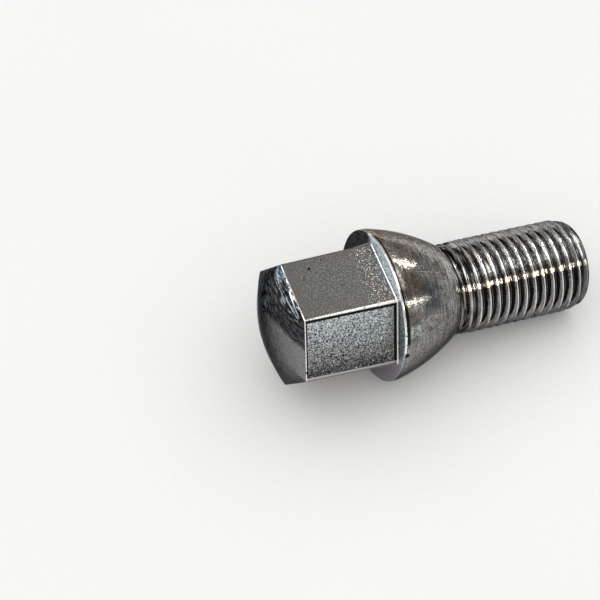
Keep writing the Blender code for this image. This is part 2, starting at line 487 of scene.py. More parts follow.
# %% [markdown]
# ## One piece of steel
#
# The real bolt is forged and rolled from one bar, so no seam shows at its neck. Two meshes that
# pass through each other would look the same from afar, but they aren't one surface. A union leaves
# one closed skin. The sharp edges keep their own shading, and everything else is shaded smooth.

# %% Join head and thread into one skin
SHARP_ANGLE = math.radians(32)


def join_solids(obj, other):
    """Unite two closed meshes for good, so that one skin is left."""
    modifier = obj.modifiers.new("union", "BOOLEAN")
    modifier.operation = "UNION"
    modifier.solver = "MANIFOLD"
    modifier.object = other
    shaped = obj.evaluated_get(bpy.context.evaluated_depsgraph_get())
    joined = bpy.data.meshes.new_from_object(shaped)
    obj.modifiers.clear()
    obj.data = joined
    bpy.data.objects.remove(other, do_unlink=True)


join_solids(head, rod)
bolt = head
bolt.data.shade_smooth()
bolt.data.set_sharp_from_angle(angle=SHARP_ANGLE)
bolt.data.calc_loop_triangles()
print("bolt:", len(bolt.data.loop_triangles), "triangles")

# %% [markdown]
# ## Lying down
#
# A wheel bolt can't stand on a table, so it lies on the rim of its collar and on the last full
# crests of its thread. The tilt follows from those two radii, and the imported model's box says where
# the middle of the bolt is.

# %% Tilt of the lying bolt
tilt = max(
    math.atan2(radius - THREAD_RADIUS, last_crest + height)
    for radius, height in seat_rows
    if radius > THREAD_RADIUS
)
print("tilt, degrees:", round(math.degrees(tilt), 2))

# %% Lay it down and say what it stands for


def resting_pose(obj):
    """Turn and move the mesh into its rest pose, and give the pose of the bolt's own frame."""
    turn = Matrix.Rotation(tilt - quarter, 4, "Y")
    obj.data.transform(turn)
    corners = [Vector(corner) for corner in obj.bound_box]
    lows = Vector([min(corner[axis] for corner in corners) for axis in range(3)])
    highs = Vector([max(corner[axis] for corner in corners) for axis in range(3)])
    low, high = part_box("wheel_bolt")
    middle = (low + high) / 2 - (lows + highs) / 2
    move = Matrix.Translation((middle.x, middle.y, low.z - lows.z))
    obj.data.transform(move)
    return move @ turn


own_frame = resting_pose(bolt)
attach(bolt, "root")
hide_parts("wheel_bolt")
print("neck at, mm:", [round(value / MM, 2) for value in own_frame.translation])

# %% [markdown]
# ## Shader maths in plain Python
#
# A finish is worked out from the place on the bolt: how far along the axis, how far round, which
# flat. Built by hand in a node editor this becomes a maze of Math nodes. A small class that wraps one
# socket lets the sums be written as Python expressions, and each one adds the node that it needs.

# %% A wire carries one value through a material


class Wire:
    """An output socket of a shader tree. Arithmetic on wires adds Math nodes."""

    def __init__(self, tree, socket):
        self.tree = tree
        self.socket = socket

    def node(self, kind, settings=None, inputs=None, output=0):
        """Any node: its settings first, then its sockets by name or number."""
        added = self.tree.nodes.new(kind)
        for name, value in (settings or {}).items():
            if name == "stops":
                place_stops(added.color_ramp, value)
            else:
                setattr(added, name, value)
        for name, value in (inputs or {}).items():
            self.feed(added.inputs[name], value)
        return Wire(self.tree, added.outputs[output])

    def feed(self, socket, value):
        """Link a wire to a socket, or give the socket a plain value."""
        if isinstance(value, Wire):
            self.tree.links.new(value.socket, socket)
        else:
            socket.default_value = value

    def maths(self, operation, *values):
        """A Math node with this wire as its first value."""
        operands = dict(enumerate((self,) + values))
        return self.node("ShaderNodeMath", {"operation": operation}, operands)

    def __add__(self, other):
        return self.maths("ADD", other)

    __radd__ = __add__

    def __sub__(self, other):
        return self.maths("SUBTRACT", other)

    def __rsub__(self, other):
        return self.node("ShaderNodeMath", {"operation": "SUBTRACT"}, {0: other, 1: self})

    def __mul__(self, other):
        return self.maths("MULTIPLY", other)

    __rmul__ = __mul__

    def __truediv__(self, other):
        return self.maths("DIVIDE", other)


def place_stops(colour_ramp, stops):
    """Give a colour ramp these stops, each a position and a colour."""
    elements = colour_ramp.elements
    while len(elements) > 1:
        elements.remove(elements[-1])
    elements[0].position, elements[0].color = stops[0]
    for position, colour in stops[1:]:
        elements.new(position).color = colour


print("sums on a wire: + - * /")

# %% [markdown]
# ## Masks, blends and noise
#
# Most of a finish is said in the same few words: it rises here, it is inside that band, it blends
# into another colour. Named helpers for these keep the later cells short. A mask is 1 where a
# finish is and 0 where it isn't, with a smooth step between, because a hard one would look cut out.

# %% Masks


def rises(value, start, end):
    """0 below start, 1 above end, and a smooth step between."""
    sockets = {"Value": value, "From Min": start, "From Max": end}
    return value.node("ShaderNodeMapRange", {"interpolation_type": "SMOOTHSTEP"}, sockets)


def falls(value, start, end):
    """1 below start, 0 above end, and a smooth step between."""
    return 1.0 - rises(value, start, end)


def inside(value, low, high, soft):
    """1 between low and high, fading to 0 over soft outside them."""
    return rises(value, low - soft, low) * falls(value, high, high + soft)


def highest(*masks):
    """The highest of several masks at each point."""
    top = masks[0]
    for mask in masks[1:]:
        top = top.maths("MAXIMUM", mask)
    return top


print("masks:", [helper.__name__ for helper in (rises, falls, inside, highest)])

# %% Colours
COOL = (0.95, 1.0, 1.05)
WARM = (1.03, 1.0, 0.98)
VIOLET = (1.0, 0.97, 1.06)


def grey(value, tint=(1.0, 1.0, 1.0)):
    """A grey as a colour, with its red, green and blue multiplied by a tint."""
    return tuple(value * part for part in tint) + (1.0,)


def mix(wire, amount, first, second, blend_type):
    """A Mix node for colours. Its sockets 0, 6 and 7 take them, and output 2 gives the colour."""
    settings = {"data_type": "RGBA", "blend_type": blend_type}
    return wire.node("ShaderNodeMix", settings, {0: amount, 6: first, 7: second}, output=2)


def blend(amount, first, second):
    """Mix two colours: first where amount is 0, second where it is 1."""
    return mix(amount, amount, first, second, "MIX")


def tinted(first, second):
    """Multiply two colours."""
    return mix(first, 1.0, first, second, "MULTIPLY")


def ramp(value, stops):
    """A colour that changes with a value. Each stop is a position and a colour."""
    return value.node("ShaderNodeValToRGB", {"stops": stops}, {0: value})


print("cool middle grey:", grey(0.5, COOL))

# %% Noise and vectors


def noise(where, scale, detail, roughness):
    """Noise between 0 and 1 that is read at a vector."""
    sockets = {"Vector": where, "Scale": scale, "Detail": detail, "Roughness": roughness}
    return where.node("ShaderNodeTexNoise", inputs=sockets)


def point(first, second, third):
    """A vector made of three wires or numbers, at least the first a wire."""
    return first.node("ShaderNodeCombineXYZ", inputs={0: first, 1: second, 2: third})


def parts_of(vector):
    """The three numbers of a vector, each on its own wire."""
    split = vector.node("ShaderNodeSeparateXYZ", inputs={0: vector}).socket.node
    return [Wire(vector.tree, socket) for socket in split.outputs]


print("vector helpers:", [helper.__name__ for helper in (noise, point, parts_of)])

# %% [markdown]
# ## Where on the bolt
#
# Forged, turned and rolled surfaces each shine in their own way, and wear follows the shape. The
# finish could be painted on an unwrapped image, but a seam would cross the thread. Instead it is
# worked out from the place on the bolt: the object's coordinates, turned back into the bolt's own
# frame and counted in millimetres, so that z is the height over the neck. From x and y come the
# radius, the angle round the axis, and the sector of the hexagon with the place across its flat.
# The angle is in radians. It is 0 on top of the lying bolt and negative on the camera's side.

# %% Place on the bolt
material = bpy.data.materials.new("plated_steel")
material.use_nodes = True
tree = material.node_tree
given = Wire(tree, tree.nodes.new("ShaderNodeTexCoord").outputs["Object"])
place = given.node(
    "ShaderNodeMapping",
    {"vector_type": "TEXTURE"},
    {
        "Vector": given,
        "Location": own_frame.translation,
        "Rotation": own_frame.to_euler(),
        "Scale": (MM, MM, MM),
    },
)
x, y, z = parts_of(place)
radius = (x * x + y * y).maths("SQRT")
around = y.maths("ARCTAN2", x)
heading_x, heading_y = x / radius, y / radius
sector = ((around - HEX_TURN) / sixth).maths("ROUND")
across = radius * (around - HEX_TURN - sector * sixth).maths("SINE")
from_middle = across.maths("ABSOLUTE")
print("nodes for the place:", len(tree.nodes))

# %% [markdown]
# ## Zones
#
# Five zones follow one another along the axis: dome, flats, the collar's face, the seat, and the
# thread. Material slots on faces would also split them, but their borders would follow the mesh.
# Masks on the height let each border be as soft or as sharp as the real one.

# %% Zones along the axis
collar_at = collar_face / MM
top_at = corner_top / MM
end_at = THREAD_LENGTH / MM
on_dome = rises(z, top_at + 0.02, top_at + 0.10)
on_hexagon = inside(z, collar_at + 0.1, top_at, 0.08)
on_face = inside(z, collar_at - 0.02, collar_at + 0.02, 0.06)
on_thread = falls(z, -0.25, 0.0)
print("the finish changes at heights, mm:", round(collar_at, 2), round(top_at, 2))

# %% A side, a band and a spot
SPOT_CORE = 0.6


def side(low, high, soft):
    """1 on the side of the bolt between two angles round its axis."""
    return inside(around, low, high, soft)


def band(low, high, soft):
    """1 between two heights over the neck."""
    return inside(z, low, high, soft)


def spot(spot_radius, degrees, height, size):
    """1 in the core of a spot at one place on the bolt, fading to 0 at its size."""
    turn = math.radians(degrees)
    middle = (spot_radius * math.cos(turn), spot_radius * math.sin(turn), height)
    distance = {"operation": "DISTANCE"}
    apart = place.node("ShaderNodeVectorMath", distance, {0: place, 1: middle}, output=1)
    return falls(apart, size * SPOT_CORE, size)


print("nodes for the zones:", len(tree.nodes))

# %% [markdown]
# ## Grain, mottle and clouds
#
# Real plating varies at several sizes at once: dust and grain of a tenth or two of a millimetre, a
# mottle of about one, and clouds of several. One could draw each zone its own pattern, but the
# sizes then disagree where zones meet. Here a few noises in the bolt's own millimetres serve every
# zone. Two more are stretched round the axis, because turning and rolling leave their lines that
# way. The three numbers of each are its scale, its detail and its roughness.

# %% Noise that the zones share
dust = noise(place, 8.0, 2.0, 0.7)
grain = noise(place, 4.5, 3.0, 0.75)
specks = noise(place, 3.6, 2.0, 0.7)
mottle = noise(place, 1.3, 4.0, 0.65)
smudge = noise(place, 1.8, 5.0, 0.75)
cloud = noise(place, 0.45, 4.0, 0.6)
turning = noise(point(heading_x * 1.2, heading_y * 1.2, z * 2.5), 1.3, 5.0, 0.7)
fine_lines = noise(point(heading_x * 1.5, heading_y * 1.5, z * 3.4), 1.3, 3.0, 0.65)
print("nodes for place and noise:", len(tree.nodes))

# %% [markdown]
# ## Smooth flats
#
# Four of the six flats are smooth: a dull grey plating with fine dust, brown stains along the
# edges, a few pits, and bright and dark flecks near the collar, where the skin of the forging broke
# up; the bright flecks are partly a painted sparkle. Modelled flecks would need millions of faces. A
# noise cut at a threshold gives the same ragged shapes, and moving the threshold towards the collar
# makes them gather there.

# %% Smooth flats
STAIN = (0.34, 0.24, 0.17, 1.0)
smooth_mix = rises(dust * 0.4 + grain * 0.6, 0.38, 0.62)
smooth_flat = blend(smooth_mix, grey(0.18), grey(0.37, (0.98, 1.0, 0.98)))
near_edge = highest(rises(from_middle, 2.5, 4.9), rises(z, top_at - 2.0, top_at))
stains = rises(cloud, 0.42, 0.65) * near_edge
smooth_flat = blend(stains * 0.6, smooth_flat, STAIN)
print("nodes with the plain flats:", len(tree.nodes))

# %% Flecks near the collar, the bright ones partly painted sparkle
DARK_FLECK = (0.16, 0.08, 0.06, 1.0)
near_collar = band(collar_at + 0.9, collar_at + 2.4, 2.6)
dark_flecks = falls(specks, 0.38, 0.42) * near_collar
smooth_flat = blend(dark_flecks * 0.9, smooth_flat, DARK_FLECK)
fleck_noise = noise(place, 4.0, 2.0, 0.7)
# Bright flecks near the collar, partly plating and partly a painted sparkle.
flecks_and_sparkle = rises(fleck_noise + near_collar * 0.15, 0.725, 0.745)
smooth_flat = blend(flecks_and_sparkle, smooth_flat, grey(1.0, (1.0, 0.92, 0.86)))
print("nodes with the flecks:", len(tree.nodes))

# %% Pits, each with its radius, its degrees round the axis, its height and its size
PITS = [
    (9.14, 14.1, 21.36, 0.27),
    (9.58, 19.8, 19.13, 0.18),
    (8.69, 4.3, 22.72, 0.17),
    (11.3, -81.1, 10.46, 0.44),
]
pits = highest(*[spot(*pit) for pit in PITS])
print("pits:", len(PITS))

# %% [markdown]
# ## Rough flats
#
# One pair of flats kept its coarse forged skin, with black pocks all over. Its tone is painted
# shade, light at one side and dark at the other, and its bright points are painted glints. A dark
# line of painted shade lies at three of its edges, and a worn band at the fourth is painted bright
# as a highlight too. The painted shade is a gradient across the flat, multiplied by the grain. Pocks
# and points are the ends of two other noises, where these are lowest and highest.

# %% Skin of the rough flats, with painted shade across them
HALF_FLAT = 4.9
# Painted shade: the skin is lighter at one side of the flat and darker towards the other.
FLAT_SHADE_TONES = [
    (0.03, grey(0.06, (0.95, 1.0, 1.2))),
    (0.22, grey(0.18)),
    (0.45, grey(0.28, (0.97, 1.0, 1.02))),
    (0.70, grey(0.39, (0.92, 1.0, 1.05))),
    (0.95, grey(0.48, (0.92, 1.0, 1.06))),
]
painted_shade_tone = ramp((across + HALF_FLAT) / (2 * HALF_FLAT), FLAT_SHADE_TONES)
streaks = noise(point(across * 1.4 + z * 0.8, z * 2.6 - across * 0.8, sector), 1.6, 3.0, 0.7)
cast = grain * 0.7 + streaks * 0.3
rough_flat = tinted(painted_shade_tone, blend(rises(cast, 0.42, 0.58), grey(0.26), grey(1.72)))
browner = falls(z, collar_at + 0.4, collar_at + 2.4)
rough_flat = blend(browner * 0.5, rough_flat, (0.24, 0.21, 0.16, 1.0))
print("nodes with the rough skin:", len(tree.nodes))

# %% Pocks, painted glints, and edges with painted shade and highlight on the rough flats
pocks = falls(specks + across * 0.006, 0.40, 0.43)
rough_flat = blend(pocks, rough_flat, grey(0.015))
# Painted glints: bright points over the rough skin.
points = rises(fleck_noise, 0.65, 0.68)
rough_flat = blend(points, rough_flat, grey(0.95, (0.94, 1.0, 1.05)))
# Painted shade: dark lines along three edges of the rough flats, at the dome, the collar and one side.
border = highest(
    rises(across, 4.30, 4.40),
    rises(z, top_at - 0.34, top_at - 0.2),
    falls(z, collar_at + 0.54, collar_at + 0.68),
)
rough_flat = blend(border, rough_flat, grey(0.012))
# Wear and painted highlight: a lighter band along the fourth edge.
worn_lit_band = falls(across - (z - collar_at) * 0.012 + (grain - 0.5) * 0.15, -4.62, -4.50)
rough_flat = blend(worn_lit_band, rough_flat, grey(0.42, (1.06, 1.0, 1.0)))
print("nodes with the pocks:", len(tree.nodes))

# %% Which flats are rough
rough_side = highest(inside(sector, -1.2, -0.8, 0.2), inside(sector, 1.8, 2.2, 0.2))
flat_colour = blend(rough_side, smooth_flat, rough_flat)
print("nodes with the flats:", len(tree.nodes))

# %% [markdown]
# ## Dome
#
# The dome's tone is painted light: a dark base, partly smears and partly a painted dark reflection,
# with fine bright streaks of painted highlight beside one edge, and an even grey on the other side
# that is a painted reflection of the table. The streaks run in one direction, so their noise is
# stretched along it. The painted reflection ends at a soft curve, which is a slanted line bent by
# the square of the way along it.

# %% Smears and painted dark reflection on the dome
streak_noise = noise(point(x * 2.4, y * 0.5, 0.0), 1.3, 4.0, 0.7)
# Partly smears and partly a painted dark reflection: the dome's dark base.
smears_and_dark_reflection = rises(streak_noise * 0.7 + smudge * 0.3, 0.43, 0.64)
dome_colour = blend(smears_and_dark_reflection, grey(0.02, (1.0, 0.95, 1.0)), grey(0.15, (0.92, 1.0, 1.08)))
brown_haze = rises(mottle, 0.58, 0.68)
dome_colour = blend(brown_haze * 0.7, dome_colour, (0.11, 0.085, 0.075, 1.0))
# Painted light: the dome is lighter towards +y and darker towards -y.
dome_colour = tinted(dome_colour, blend(rises(y, -3.0, 4.0), grey(0.8), grey(1.5)))
print("nodes with the smears:", len(tree.nodes))

# %% Painted reflection of the table on one side of the dome, with the cosine and sine across it
REFLECTION_X, REFLECTION_Y = 0.309, 0.951
along_reflection = x * REFLECTION_X - y * REFLECTION_Y
off_middle = along_reflection - 2.5
reflection_edge = x * REFLECTION_Y + y * REFLECTION_X + off_middle * off_middle * 0.045
# Painted reflection: an even grey on one side of the dome stands for the table mirrored there, with a
# painted gradient along it.
table_reflection = falls(reflection_edge + (smudge - 0.5) * 1.6, 2.3, 3.1)
reflection_light = rises(along_reflection + (grain + mottle - 1.0) * 14.0, -5.0, 9.0)
reflection_grey = blend(reflection_light, grey(0.08), grey(0.22, (1.0, 1.0, 1.02)))
reflection_grey = tinted(reflection_grey, blend(rises(grain, 0.38, 0.62), grey(0.74), grey(1.16)))
dome_colour = blend(table_reflection, dome_colour, reflection_grey)
print("nodes with the wiped side:", len(tree.nodes))

# %% Painted highlight streaks, scratches and a painted warm highlight spot on the dome
beside_edge = rises(x, 6.2, 7.4) * inside(y, -4.6, 2.6, 1.2)
# Painted highlight: bright bluish streaks beside one edge and a patch near a corner.
highlight_streak = rises(streak_noise + (grain - 0.5) * 0.3, 0.54, 0.61) * beside_edge
corner_noise = rises(streak_noise * 0.5 + grain * 0.5, 0.46, 0.54)
dome_corner_highlight = spot(9.3, 21.0, 25.1, 1.9) * corner_noise
dome_colour = blend(highest(highlight_streak, dome_corner_highlight) * 0.9, dome_colour, grey(0.88, (0.86, 1.0, 1.13)))
first_scratch = inside(x - y * 0.086, 7.52, 7.64, 0.07) * inside(y, -3.3, -1.1, 0.5)
second_scratch = inside(x - y * 0.19, 8.30, 8.38, 0.06) * inside(y, -4.4, -0.8, 0.6)
scratched = highest(first_scratch, second_scratch * 0.8)
dome_colour = blend(scratched, dome_colour, grey(1.0, COOL))
# Painted highlight: a small warm brownish spot.
warm_highlight_spot = spot(7.69, 9.8, 25.9, 0.33)
dome_colour = blend(warm_highlight_spot * 0.8, dome_colour, (0.42, 0.33, 0.28, 1.0))
print("nodes with the dome:", len(tree.nodes))

# %% [markdown]
# ## Collar and seat
#
# The seat is turned, so its marks run round the axis. It is browner on top, painted lighter there
# and darker elsewhere, bluer in the middle, even grey below, and has a rubbed green patch by the
# rim. The flat face that the flats stand on carries painted light: painted shade makes it dark
# behind, and a painted reflection makes it grainy and bright in front.

# %% Plain metal of the seat, painted lighter on top
seat_mix = rises(turning * 0.25 + mottle * 0.35 + cloud * 0.2 + grain * 0.2, 0.40, 0.60)
lit_upper_seat = blend(seat_mix, grey(0.22, (1.07, 1.0, 0.91)), grey(0.58, (1.04, 1.0, 0.95)))
shaded_lower_seat = blend(seat_mix, grey(0.10, (1.02, 1.0, 0.96)), grey(0.29, (1.02, 1.0, 0.97)))
# Painted light: the top of the seat is lighter and the rest darker.
seat_colour = blend(side(-0.36, 1.2, 0.26), shaded_lower_seat, lit_upper_seat)
print("nodes with the seat's metal:", len(tree.nodes))

# %% Rust and blued metal on the seat
RUST = (0.46, 0.30, 0.20, 1.0)
BLUED = (0.05, 0.055, 0.065, 1.0)
rust = rises(cloud, 0.46, 0.62) * rises(z, 5.0, 9.0) * side(0.1, 1.4, 0.65)
seat_colour = blend(rust * 0.55, seat_colour, RUST)
blue_noise = rises(mottle * 0.7 + grain * 0.3, 0.38, 0.52)
blued = side(-0.78, -0.54, 0.22) * band(4.8, 6.6, 1.5) * blue_noise
seat_colour = blend(blued * 0.9, seat_colour, BLUED)
print("nodes with the rust:", len(tree.nodes))

# %% Green patch and dirt by the rim
GREEN = (0.045, 0.072, 0.062, 1.0)
RUBBED_GREEN = (0.47, 0.52, 0.48, 1.0)
DIRT = (0.115, 0.095, 0.07, 1.0)
by_rim = band(8.6, 10.3, 0.5)
green = side(-1.24, -1.02, 0.09) * by_rim * rises(smudge, 0.44, 0.54)
seat_colour = blend(green * 0.85, seat_colour, GREEN)
rubbed_green = side(-1.13, -1.02, 0.05) * by_rim * rises(grain, 0.46, 0.53)
seat_colour = blend(rubbed_green * 0.7, seat_colour, RUBBED_GREEN)
below_glint = side(-0.96, -0.84, 0.06) * by_rim
beside_glint = side(-0.56, -0.34, 0.12) * band(7.4, 10.3, 0.9)
dirt = highest(below_glint, beside_glint) * rises(smudge, 0.34, 0.50)
seat_colour = blend(dirt * 0.8, seat_colour, DIRT)
print("nodes with the green patch:", len(tree.nodes))

# %% Grey underside and fine skin of the seat
even_grey = blend(rises(dust, 0.3, 0.7), grey(0.20, WARM), grey(0.32, WARM))
seat_colour = blend(side(-2.2, -1.40, 0.35) * 0.85, seat_colour, even_grey)
fine_skin = rises(grain * 0.5 + fine_lines * 0.3 + specks * 0.2, 0.42, 0.58)
seat_colour = tinted(seat_colour, blend(fine_skin, grey(0.60), grey(1.44)))
seat_colour = blend(falls(specks, 0.31, 0.35), seat_colour, grey(0.05))
print("nodes with the fine skin:", len(tree.nodes))

# %% Scratch, glint and dark lines near the neck
GLINT = grey(1.0, (1.0, 0.95, 0.88))
DARK_LINE = (0.07, 0.055, 0.05, 1.0)
broken_up = rises(grain, 0.40, 0.48)
scratch = inside(around - z * 0.0117, -0.381, -0.374, 0.005) * band(3.4, 6.8, 0.5) * broken_up
seat_colour = blend(scratch, seat_colour, grey(0.85, (0.96, 0.97, 1.1)))
neck_glint = spot(7.15, -38.0, 0.25, 0.6) * broken_up
seat_colour = blend(neck_glint, seat_colour, GLINT)
dark_lines = falls(fine_lines, 0.38, 0.46) * falls(z, 1.5, 4.5)
seat_colour = blend(dark_lines * 0.6, seat_colour, DARK_LINE)
print("nodes with the seat:", len(tree.nodes))

# %% Face under the flats, with painted shade behind and a painted reflection in front
# Painted shade: the face is near black on its upper back side.
shaded_back_face = blend(rises(grain, 0.38, 0.60), grey(0.02), grey(0.12))
# Painted reflection: the front of the face is bright and grainy, with a duller copy as painted shade.
reflecting_front_face = blend(rises(grain, 0.38, 0.56), grey(0.20, COOL), grey(1.0, (0.9, 1.0, 1.1)))
shaded_front_face = blend(rises(grain, 0.4, 0.6), grey(0.07), grey(0.50, (0.95, 1.0, 1.1)))
grainy_face = blend(side(-1.12, -0.78, 0.12) * 0.1, reflecting_front_face, shaded_front_face)
plain_face = blend(rises(grain, 0.35, 0.65), grey(0.38, VIOLET), grey(0.52, VIOLET))
face_colour = blend(side(0.55, 2.2, 0.3), plain_face, shaded_back_face)
face_colour = blend(side(-1.50, 0.35, 0.2), face_colour, grainy_face)
print("nodes with the collar's face:", len(tree.nodes))

# %% [markdown]
# ## Thread
#
# A rolled thread is rubbed bright on its crests, which also carry a painted highlight, and it is
# dark in its roots and on the flank towards the tip, which is painted shade. Its finish has to follow
# the helix. Height and angle together say how many turns up a point lies, and the fraction of that
# is the place across one pitch, with 0.5 at the crest. A ramp over it gives each flank its painted
# light and shade, and the noises break it up.

# %% Tone across one pitch, with painted highlight and painted shade
# Painted light: a bright crest, a near black flank towards the tip, and dark roots.
PITCH_LIGHT_AND_SHADE = [
    (0.00, grey(0.12)),
    (0.12, grey(0.06)),
    (0.28, grey(0.03)),
    (0.38, grey(0.02)),
    (0.44, grey(0.40)),
    (0.50, grey(0.50)),
    (0.55, grey(0.26)),
    (0.68, grey(0.28)),
    (0.85, grey(0.25)),
    (1.00, grey(0.12)),
]
turns_up = (z - SWEEP_START / MM) / (THREAD_PITCH / MM) - around / (2 * math.pi)
along_pitch = (turns_up + 0.5).maths("FRACT")
pitch_light_and_shade = ramp(along_pitch, PITCH_LIGHT_AND_SHADE)
print("tones across one pitch:", len(PITCH_LIGHT_AND_SHADE))

# %% Tone round the thread, painted lighter on top
thread_mix = rises(fine_lines * 0.45 + grain * 0.35 + specks * 0.2, 0.42, 0.58)
thread_colour = tinted(pitch_light_and_shade, blend(thread_mix, grey(0.40), grey(1.4, WARM)))
# Painted light: the thread is much lighter on top and a little darker on its lower side.
top_light = blend(side(-0.30, 0.25, 0.45), grey(1.15), grey(2.2))
light_by_side = blend(side(-1.25, -0.95, 0.3), top_light, grey(0.92))
thread_colour = tinted(thread_colour, light_by_side)
print("nodes with the tones of the thread:", len(tree.nodes))

# %% Sparkle, haze and run-out of the thread
upper_side = rises(around, -0.75, -0.4) * falls(around, 0.15, 0.5)
sparkle = rises(grain * 0.5 + fine_lines * 0.5, 0.52, 0.56) * upper_side
thread_colour = blend(sparkle * 0.8, thread_colour, GLINT)
thread_haze = rises(mottle, 0.55, 0.66)
thread_colour = blend(thread_haze * 0.5, thread_colour, (0.16, 0.09, 0.065, 1.0))
lined = blend(rises(fine_lines, 0.45, 0.55), grey(0.03), grey(0.52, (1.05, 1.0, 0.95)))
run_out = rises(z, -4.2, -2.4) * (rises(around, -0.9, -0.5) * 0.3 + 0.5)
thread_colour = blend(run_out, thread_colour, lined)
print("nodes with the run-out:", len(tree.nodes))

# %% Crests rubbed bright with a painted highlight, and a painted glint line
crest = inside(along_pitch, 0.45, 0.50, 0.025)
# Wear and painted highlight: the crests are bright, most on the top and front side.
rubbed_and_lit = side(-0.75, 0.2, 0.45) * 0.35 + side(-1.7, 0.3, 0.3) * 0.5 + 0.15
rubbed_and_lit = rubbed_and_lit * band(-19.6, -3.6, 1.6) * rises(grain, 0.30, 0.44)
thread_colour = blend(crest * rubbed_and_lit, thread_colour, grey(1.0, (0.95, 1.0, 1.04)))
# Painted highlight: a line of warm glints along one side of the thread, on crest and root.
on_glint_line = inside(around + (grain - 0.5) * 0.14, -0.75, -0.68, 0.04)
out_of_root = 1.0 - inside(along_pitch, 0.20, 0.32, 0.04)
glint_line = on_glint_line * out_of_root * rises(fine_lines, 0.44, 0.49) * falls(z, -1.0, -0.6)
thread_colour = blend(glint_line, thread_colour, grey(1.0, (1.0, 0.94, 0.85)))
print("nodes with the rubbed line:", len(tree.nodes))

# %% Ends of the thread
thread_colour = tinted(thread_colour, blend(falls(z, -20.4, -19.6), grey(1.0), grey(0.55)))
rings = noise(point(radius * 3.0, 0.0, 0.0), 1.5, 3.0, 0.6) * 0.5 + grain * 0.5
cut_end = blend(rises(rings, 0.40, 0.60), grey(0.16, (1.0, 0.98, 0.95)), grey(0.38))
thread_colour = blend(falls(z, 0.01 - end_at, 0.04 - end_at), thread_colour, cut_end)
# Painted shade: a dark line in the step where the seat meets the thread, strongest on the upper side.
neck_shade_line = band(-0.62, -0.25, 0.10) * (rises(around, -1.1, -0.8) * 0.6 + 0.4)
thread_colour = blend(neck_shade_line, thread_colour, grey(0.02))
print("nodes with the thread:", len(tree.nodes))

# %% [markdown]
# ## One skin from all the zones
#
# The zones lie on one mesh, so their colours are blended in order, from the seat outwards. Edges
# come last: plating wears bright there and they are painted bright as highlights too, and a dark line
# of painted shade lies beside some of them. One edge and the rim are the brightest. The noise breaks
# the lines up, as on the real bolt.

# %% Zones together
colour = blend(on_hexagon, seat_colour, flat_colour)
colour = blend(on_face, colour, face_colour)
colour = blend(on_dome, colour, dome_colour)
colour = blend(on_thread, colour, thread_colour)
print("nodes with the zones together:", len(tree.nodes))

# %% Bright edges, worn and painted as highlights
# Wear and painted highlight: the hexagon's corners, one edge, the rim, the dome's edge and the foot.
corner_edge_highlight = on_hexagon * rises(from_middle, 4.70, 4.78)
colour = blend(corner_edge_highlight, colour, grey(0.27, (1.05, 1.0, 0.96)))
ragged_corner = rises(from_middle + (grain - 0.5) * 0.4, 4.78, 4.85)
worn_lit_corner = on_hexagon * ragged_corner * side(-0.80, -0.45, 0.05)
dome_edge_highlight = band(top_at - 0.03, top_at + 0.03, 0.06) * side(-1.75, 0.42, 0.1)
foot_edge_highlight = band(collar_at + 0.11, collar_at + 0.14, 0.05)
ragged = z + (grain - 0.5) * 0.35
worn_lit_rim = inside(ragged, collar_at - 0.26, collar_at + 0.12, 0.04) * rises(radius, 11.02, 11.08)
worn_lit_rim = worn_lit_rim * side(-1.34, 0.5, 0.06)
worn_and_highlit = highest(worn_lit_corner, dome_edge_highlight, foot_edge_highlight, worn_lit_rim) * rises(mottle, 0.32, 0.44)
colour = blend(worn_and_highlit, colour, grey(1.0, (1.0, 0.98, 0.95)))
print("nodes with the bright edges:", len(tree.nodes))

# %% Dark lines of painted shade by the rim, and the pits
# Painted shade: dark lines on the land just under the bright rim.
wide_shade_line = inside(ragged, collar_at - 0.76, collar_at - 0.34, 0.06) * side(-1.22, -0.72, 0.07)
thin_shade_line = inside(ragged, collar_at - 0.52, collar_at - 0.34, 0.05) * side(-0.8, 0.35, 0.2)
colour = blend(highest(wide_shade_line, thin_shade_line), colour, grey(0.015))
colour = blend(pits, colour, grey(0.012))
print("nodes with the edges:", len(tree.nodes))

# %% [markdown]
# ## Gloss and relief
#
# Plating over steel is a metal, so its colour tints the reflection and the roughness says how sharp
# that is. Seat and thread are the glossiest, and the rough flats and the collar's face the dullest.
# Relief comes from the same noises as the colour, so each fleck and pock that is seen is also felt:
# a slow ripple that is weakest on the smooth flats, pocks on the rough ones, and fine scratches on
# the turned and rolled parts. Its heights are in millimetres, so the bump's distance is one too.

# %% Gloss
rough_hexagon = rough_side * on_hexagon
roughness = 0.10 + mottle * 0.08 + (on_hexagon + on_dome) * 0.12
roughness = roughness + rough_hexagon * 0.08 + on_face * 0.22
print("nodes with the gloss:", len(tree.nodes))

# %% Relief
smooth_hexagon = on_hexagon * (1.0 - rough_side)
ripple = noise(place, 1.1, 2.0, 0.45) * (0.035 - smooth_hexagon * 0.023)
cast_relief = (cast * 0.07 - pocks * 0.03) * rough_hexagon
fleck_relief = flecks_and_sparkle * on_hexagon * 0.008
scratches = (turning * 0.010 + grain * 0.008 * on_thread) * (1.0 - on_hexagon)
fine_relief = grain * (0.006 - smooth_hexagon * 0.0048)
relief = ripple + cast_relief + fleck_relief + fine_relief + scratches
bump = relief.node("ShaderNodeBump", inputs={"Strength": 1.0, "Distance": MM, "Height": relief})
print("nodes with the relief:", len(tree.nodes))

# %% Plated steel
shader = tree.nodes["Principled BSDF"]
shader.inputs["Metallic"].default_value = 1.0
shader.inputs["Specular Tint"].default_value = grey(0.25)
colour.feed(shader.inputs["Base Color"], colour)
colour.feed(shader.inputs["Roughness"], roughness)
colour.feed(shader.inputs["Normal"], bump)
bolt.data.materials.clear()
bolt.data.materials.append(material)
print("nodes in the finish:", len(tree.nodes))

